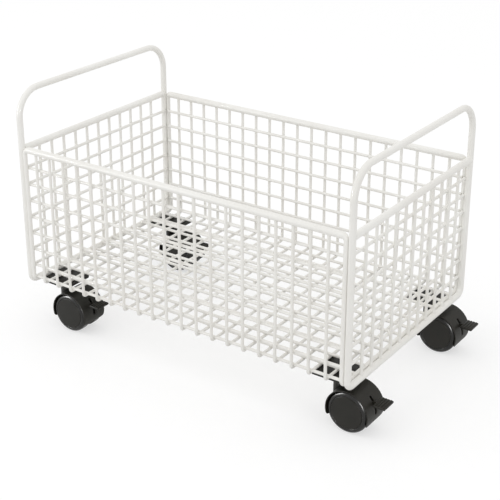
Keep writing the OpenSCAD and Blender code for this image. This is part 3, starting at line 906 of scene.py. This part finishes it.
# %% [markdown]
# ## The brake lever
# The lever is one moulding. Its pedal has raised ribs for the foot, its arm runs through the slot
# of the hood, and the bar at its far end reaches into both drums. Blocks and bars make it up. They
# run into each other and aren't united, so that each can be beveled by itself, and their edges
# catch the light as moulded ones do.

# %% Shape blocks, bars and links
BAR_SIDES = 40
BAR_EDGE_R = 0.4 * MM
ARM_EDGE_R = 0.3 * MM
SMALL_EDGE_STEPS = 2


def block(bm, low, high, edge_r=0.0):
    """A box between two corners, with all its edges rounded when an edge radius is given."""
    low, high = Vector(low), Vector(high)
    matrix = Matrix.Translation((low + high) / 2) @ Matrix.Diagonal((*(high - low), 1))
    made = bmesh.ops.create_cube(bm, size=1, matrix=matrix)["verts"]
    if edge_r:
        round_edges(bm, each_once(e for v in made for e in v.link_edges), edge_r, EDGE_STEPS)


def rounded_bar(bm, spot, radius, half):
    """A round bar along Y with rounded ends."""
    made = bar_along_y(bm, spot, radius, half, BAR_SIDES)
    ends = each_once(f for v in made for f in v.link_faces if len(f.verts) > 4)
    round_edges(bm, each_once(e for f in ends for e in f.edges), BAR_EDGE_R, SMALL_EDGE_STEPS)


def link(bm, start, end, height, half):
    """A flat bar in the XZ plane from one point to another."""
    start, end = Vector(start), Vector(end)
    along = end - start
    tilt = Matrix.Rotation(-math.atan2(along.z, along.x), 4, "Y")
    size = Matrix.Diagonal((along.length, 2 * half, height, 1))
    matrix = Matrix.Translation((start + end) / 2) @ tilt @ size
    made = bmesh.ops.create_cube(bm, size=1, matrix=matrix)["verts"]
    round_edges(bm, each_once(e for v in made for e in v.link_edges), ARM_EDGE_R, SMALL_EDGE_STEPS)


print("the arm's edges are rounded by", ARM_EDGE_R / MM, "mm")

# %% Size the lever
PEDAL_L = 17 * MM
PEDAL_T = 3 * MM
PEDAL_EDGE_R = 0.7 * MM
PEDAL_RIBS = 4
RIB_W = PEDAL_L / (2 * PEDAL_RIBS + 1)
RIB_H = 0.8 * MM
RIB_INSET = 0.6 * MM
RIB_ROOT = 1 * MM
RIB_EDGE_R = 0.45 * MM
ARM_LAP = 2 * MM
ARM_SUNK = 0.6 * MM
ARM_HALF = 1.7 * MM
ARM_H = 4.5 * MM
EYE_R = 3.6 * MM
BAR_R = 2.7 * MM
BAR_HALF = 11 * MM
BAR_SPOT = Vector((4.5 * MM, 0, 16.5 * MM))
print(f"a rib is {RIB_W / MM:.1f} mm wide")


# %% Mould the levers
def lever(corner):
    """Pedal, ribs, arm, eye and cross bar of one caster, in one bmesh."""
    low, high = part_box(f"{corner}_brake_lever")
    axle = centre(f"{corner}_axle")
    pin = centre(f"{corner}_brake_pin")
    half = (high.y - low.y) / 2
    rib_half = half - RIB_INSET
    top = high.z - RIB_H
    near = high.x - PEDAL_L
    bm = bmesh.new()
    block(bm, (near, axle.y - half, top - PEDAL_T), (high.x, axle.y + half, top), PEDAL_EDGE_R)
    for i in range(PEDAL_RIBS):
        x = near + (2 * i + 1) * RIB_W
        block(bm, (x, axle.y - rib_half, top - RIB_ROOT), (x + RIB_W, axle.y + rib_half, high.z),
              RIB_EDGE_R)
    link(bm, pin, (near + ARM_LAP, axle.y, top - PEDAL_T + ARM_SUNK), ARM_H, ARM_HALF)
    link(bm, pin, axle + BAR_SPOT, ARM_H, ARM_HALF)
    rounded_bar(bm, pin, EYE_R, ARM_HALF)
    rounded_bar(bm, axle + BAR_SPOT, BAR_R, BAR_HALF)
    return bm


for corner in CORNERS:
    add_piece(f"{corner}_pedal_lever", lever(corner), f"{corner}_brake_lever")
print("moulded", len(CORNERS), "levers with", PEDAL_RIBS, "ribs each")

# %% [markdown]
# ## The caster plates
# Each caster hangs from a stamped plate under the mesh floor. It is made from a block with two
# bevels, one after the other, because its upright edges are rounded far and its rims only eased.

# %% Stamp the plates
PLATE_CORNER_R = 5 * MM
PLATE_CORNER_STEPS = 8
PLATE_EDGE_R = 0.5 * MM


def plate(corner):
    """One plate between the corners of its node's box."""
    low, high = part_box(f"{corner}_mount_plate")
    bm = bmesh.new()
    block(bm, low, high)
    upright = [e for e in bm.edges if abs(e.verts[0].co.z - e.verts[1].co.z) > (high.z - low.z) / 2]
    round_edges(bm, upright, PLATE_CORNER_R, PLATE_CORNER_STEPS)
    return round_hard_edges(bm, PLATE_EDGE_R, angle=60)


for corner in CORNERS:
    add_piece(f"{corner}_stamped_plate", plate(corner), f"{corner}_mount_plate")
print("stamped", len(CORNERS), "plates")

# %% [markdown]
# ## Spot welds
# Where two wires of the mesh cross, a spot weld has melted them together, and the powder coat has
# run into the corners round it. The same small fillet sits at each end of a wire, on the rod that
# carries it. Wires that are united and rounded at each crossing would be truer, but slow to make
# and heavy. A flattened ball on the crossing looks the same at this size. There are hundreds of
# them, so each has only 20 faces, and the welds of a panel are one piece. The places are found on
# the frame's own wires.


# %% Find the wires of a panel
def separate_boxes(node):
    """The box of each separate wire of a mesh node."""
    bm = bmesh.new()
    bm.from_mesh(frame["nodes"][node].data)
    bmesh.ops.remove_doubles(bm, verts=bm.verts, dist=WELD)
    found, seen = [], set()
    for vert in bm.verts:
        if vert in seen:
            continue
        seen.add(vert)
        waiting, spots = [vert], []
        while waiting:
            here = waiting.pop()
            spots.append(here.co.copy())
            for edge in here.link_edges:
                other = edge.other_vert(here)
                if other not in seen:
                    seen.add(other)
                    waiting.append(other)
        found.append((Vector(map(min, *spots)), Vector(map(max, *spots))))
    bm.free()
    return found


def running(wires, axis):
    """The wires whose longest side runs along an axis."""
    return [w for w in wires if (w[1] - w[0])[axis] == max(w[1] - w[0])]


def middle(wire):
    return (wire[0] + wire[1]) / 2


first_low, first_high = separate_boxes("floor_mesh")[0]
wire_r = min(first_high - first_low) / 2
print(f"the wires are {2 * wire_r / MM:.1f} mm thick")

# %% Shape a bead
X, Y, Z = 0, 1, 2
BEAD_REACH = 1.3
BEAD_HEIGHT = 0.6


def bead(bm, spot, flat_axis):
    """A ball of weld, flattened along one axis."""
    sizes = [wire_r * BEAD_REACH] * 3
    sizes[flat_axis] = wire_r * BEAD_HEIGHT
    matrix = Matrix.Translation(spot) @ Matrix.Diagonal((*sizes, 1))
    bmesh.ops.create_icosphere(bm, subdivisions=1, radius=1, matrix=matrix)


print(f"a bead is {2 * BEAD_REACH * wire_r / MM:.1f} mm wide")


# %% Weld the crossings and the wires' ends
def weld_crossings(bm, wires, level_axis, upright_axis, flat_axis):
    """A bead where each upright wire lies on each level wire."""
    for level in running(wires, level_axis):
        for upright in running(wires, upright_axis):
            spot = middle(level)
            spot[level_axis] = middle(upright)[level_axis]
            toward = 1 if middle(upright)[flat_axis] > middle(level)[flat_axis] else -1
            spot[flat_axis] += toward * wire_r
            bead(bm, spot, flat_axis)


def weld_ends(bm, wires, axis):
    """A bead at both ends of the wires that run along an axis."""
    for wire in running(wires, axis):
        for end in wire:
            spot = middle(wire)
            spot[axis] = end[axis]
            bead(bm, spot, axis)


print(len(running(separate_boxes("front_mesh"), Z)), "uprights cross the front panel's level wires")


# %% Weld the uprights' tops and the floor's wires
def weld_tops(bm, wires):
    """A bead on top of each upright of a long panel, over its straight run on the outer side."""
    low_y, high_y = min(w[0].y for w in wires), max(w[1].y for w in wires)
    run_y = high_y - wire_r if high_y > 0 else low_y + wire_r
    for wire in running(wires, Z):
        spot = middle(wire)
        spot.y = run_y
        spot.z = wire[1].z
        bead(bm, spot, Z)


def weld_on_borders(bm, wires):
    """A bead where each long wire of the floor rests on the two border rods."""
    for wire in running(wires, X):
        for side in ("left", "right"):
            spot = middle(wire)
            spot.x = border_x(side)
            spot.z -= wire_r
            bead(bm, spot, Z)


print(len(running(separate_boxes("floor_mesh"), X)), "wires of the floor rest on the border rods")

# %% Weld the panels
PANELS = {"floor_mesh": (X, Y, Z), "front_mesh": (X, Z, Y), "back_mesh": (X, Z, Y),
          "left_end_mesh": (Y, Z, X), "right_end_mesh": (Y, Z, X)}

for node, (level_axis, upright_axis, flat_axis) in PANELS.items():
    wires = separate_boxes(node)
    bm = bmesh.new()
    weld_crossings(bm, wires, level_axis, upright_axis, flat_axis)
    if flat_axis == Z:
        weld_on_borders(bm, wires)
    else:
        weld_ends(bm, wires, level_axis)
    if flat_axis == X:
        weld_ends(bm, wires, Z)
    if flat_axis == Y:
        weld_tops(bm, wires)
    piece = add_piece(f"{node}_welds", bm, node, stands_for=False, sharp=180)
    print(piece.name, len(piece.data.polygons), "faces")

# %% [markdown]
# ## Floor, light and camera
# The floor is plain and pale, and it keeps the cart's shadow. Stronger lamps would turn it white,
# but would bleach the off-white wires as well. So the floor and the air round it look nearly white
# only to the camera, and to a glossy piece that mirrors them, and light the cart at a plain level.
# A large soft lamp stands to the left and above. Two cards light only the glossy faces, and draw a
# bright line along the wheels' shoulders. The camera looks from the right front, from well above
# the rim, as a buyer would look down on the cart.


# %% Tell apart what is seen and what only lights
def seen_directly(tree):
    """1 for a ray of the camera, or of a gloss or a clear piece that shows what the camera sees."""
    rays = tree.nodes.new("ShaderNodeLightPath")
    seen = math_node(tree, "ADD", rays.outputs["Is Camera Ray"], rays.outputs["Is Glossy Ray"])
    return math_node(tree, "ADD", seen, rays.outputs["Is Transmission Ray"])


def when_seen(tree, value, value_seen):
    """One value where a ray only carries light, and another where it shows what is seen."""
    change = math_node(tree, "MULTIPLY", seen_directly(tree), value_seen - value)
    return math_node(tree, "ADD", change, value)


print("a strength of 1 looks white")

# %% Lay the floor
FLOOR_REACH = 12.0
FLOOR_TONE = 0.8
FLOOR_TONE_SEEN = 0.45
FLOOR_GLOW_SEEN = 0.58


def floor_paint():
    """Pale paint that is darker but glows where it is seen, so that its shadows stay soft."""
    material = bpy.data.materials.new("pale_floor")
    material.use_nodes = True
    tree = material.node_tree
    tree.nodes.clear()
    paint = tree.nodes.new("ShaderNodeBsdfDiffuse")
    tree.links.new(when_seen(tree, FLOOR_TONE, FLOOR_TONE_SEEN), paint.inputs["Color"])
    glow = tree.nodes.new("ShaderNodeEmission")
    tree.links.new(when_seen(tree, 0.0, FLOOR_GLOW_SEEN), glow.inputs["Strength"])
    add = tree.nodes.new("ShaderNodeAddShader")
    tree.links.new(paint.outputs[0], add.inputs[0])
    tree.links.new(glow.outputs[0], add.inputs[1])
    output = tree.nodes.new("ShaderNodeOutputMaterial")
    tree.links.new(add.outputs[0], output.inputs["Surface"])
    return material


def lay_floor():
    bm = bmesh.new()
    bmesh.ops.create_grid(bm, x_segments=1, y_segments=1, size=FLOOR_REACH)
    mesh = bpy.data.meshes.new("studio_floor")
    bm.to_mesh(mesh)
    bm.free()
    mesh.materials.append(floor_paint())
    floor = bpy.data.objects.new("studio_floor", mesh)
    scene.collection.objects.link(floor)
    return floor


floor = lay_floor()
print("floor laid at z =", floor.location.z)

# %% Light the studio
AIR_STRENGTH = 0.9
AIR_STRENGTH_SEEN = 0.984


def make_air():
    world = bpy.data.worlds.new("studio_air")
    world.use_nodes = True
    scene.world = world
    tree = world.node_tree
    back = tree.nodes["Background"]
    back.inputs["Color"].default_value = (1, 1, 1, 1)
    tree.links.new(when_seen(tree, AIR_STRENGTH, AIR_STRENGTH_SEEN), back.inputs["Strength"])


def add_lamp(name, spot, size, watts, only_gloss=False):
    """A soft lamp that faces the middle of the cart and isn't seen itself."""
    lamp = bpy.data.lights.new(name, "AREA")
    lamp.shape = "RECTANGLE"
    lamp.size, lamp.size_y = size
    lamp.energy = watts
    holder = bpy.data.objects.new(name, lamp)
    holder.location = spot
    holder.rotation_mode = "QUATERNION"
    holder.rotation_quaternion = (cart_middle - Vector(spot)).to_track_quat("-Z", "Y")
    holder.visible_camera = False
    holder.visible_diffuse = not only_gloss
    scene.collection.objects.link(holder)


make_air()
cart_middle = (frame_bounds[0] + frame_bounds[1]) / 2
add_lamp("top_lamp", spot=(-0.9, -1.1, 2.5), size=(1.4, 1.4), watts=8)
add_lamp("left_card", spot=(-1.45, -1.35, 0.6), size=(0.6, 0.9), watts=50, only_gloss=True)
add_lamp("right_card", spot=(1.35, -1.75, 0.6), size=(0.5, 0.9), watts=40, only_gloss=True)
print("lit by the air and", len(bpy.data.lights), "lamps")

# %% Place the camera
CAMERA_SPOT = (0.8705, -1.2642, 0.8436)
CAMERA_YAW = math.radians(34.76)
CAMERA_PITCH = math.radians(22.34)
FOCAL_LENGTH_MM = 85.6
SENSOR_MM = 36
SHIFT_UP = -0.10
CLIP_NEAR = 0.05
CLIP_FAR = 50


def make_camera():
    data = bpy.data.cameras.new("camera")
    data.sensor_width = SENSOR_MM
    data.lens = FOCAL_LENGTH_MM
    data.shift_y = SHIFT_UP
    data.clip_start = CLIP_NEAR
    data.clip_end = CLIP_FAR
    camera = bpy.data.objects.new("camera", data)
    scene.collection.objects.link(camera)
    level = math.cos(CAMERA_PITCH)
    ahead = Vector((-math.sin(CAMERA_YAW) * level, math.cos(CAMERA_YAW) * level, -math.sin(CAMERA_PITCH)))
    camera.location = CAMERA_SPOT
    camera.rotation_mode = "QUATERNION"
    camera.rotation_quaternion = ahead.to_track_quat("-Z", "Y")
    return camera


scene.camera = make_camera()
scene.view_settings.view_transform = "Standard"
print("camera at", tuple(round(v, 3) for v in scene.camera.location))

# %% [markdown]
# ## Close the notebook
# The box of the frame is printed.

# %% Print the frame's box and finish
print("frame ", [[round(c, 4) for c in v] for v in frame_bounds])
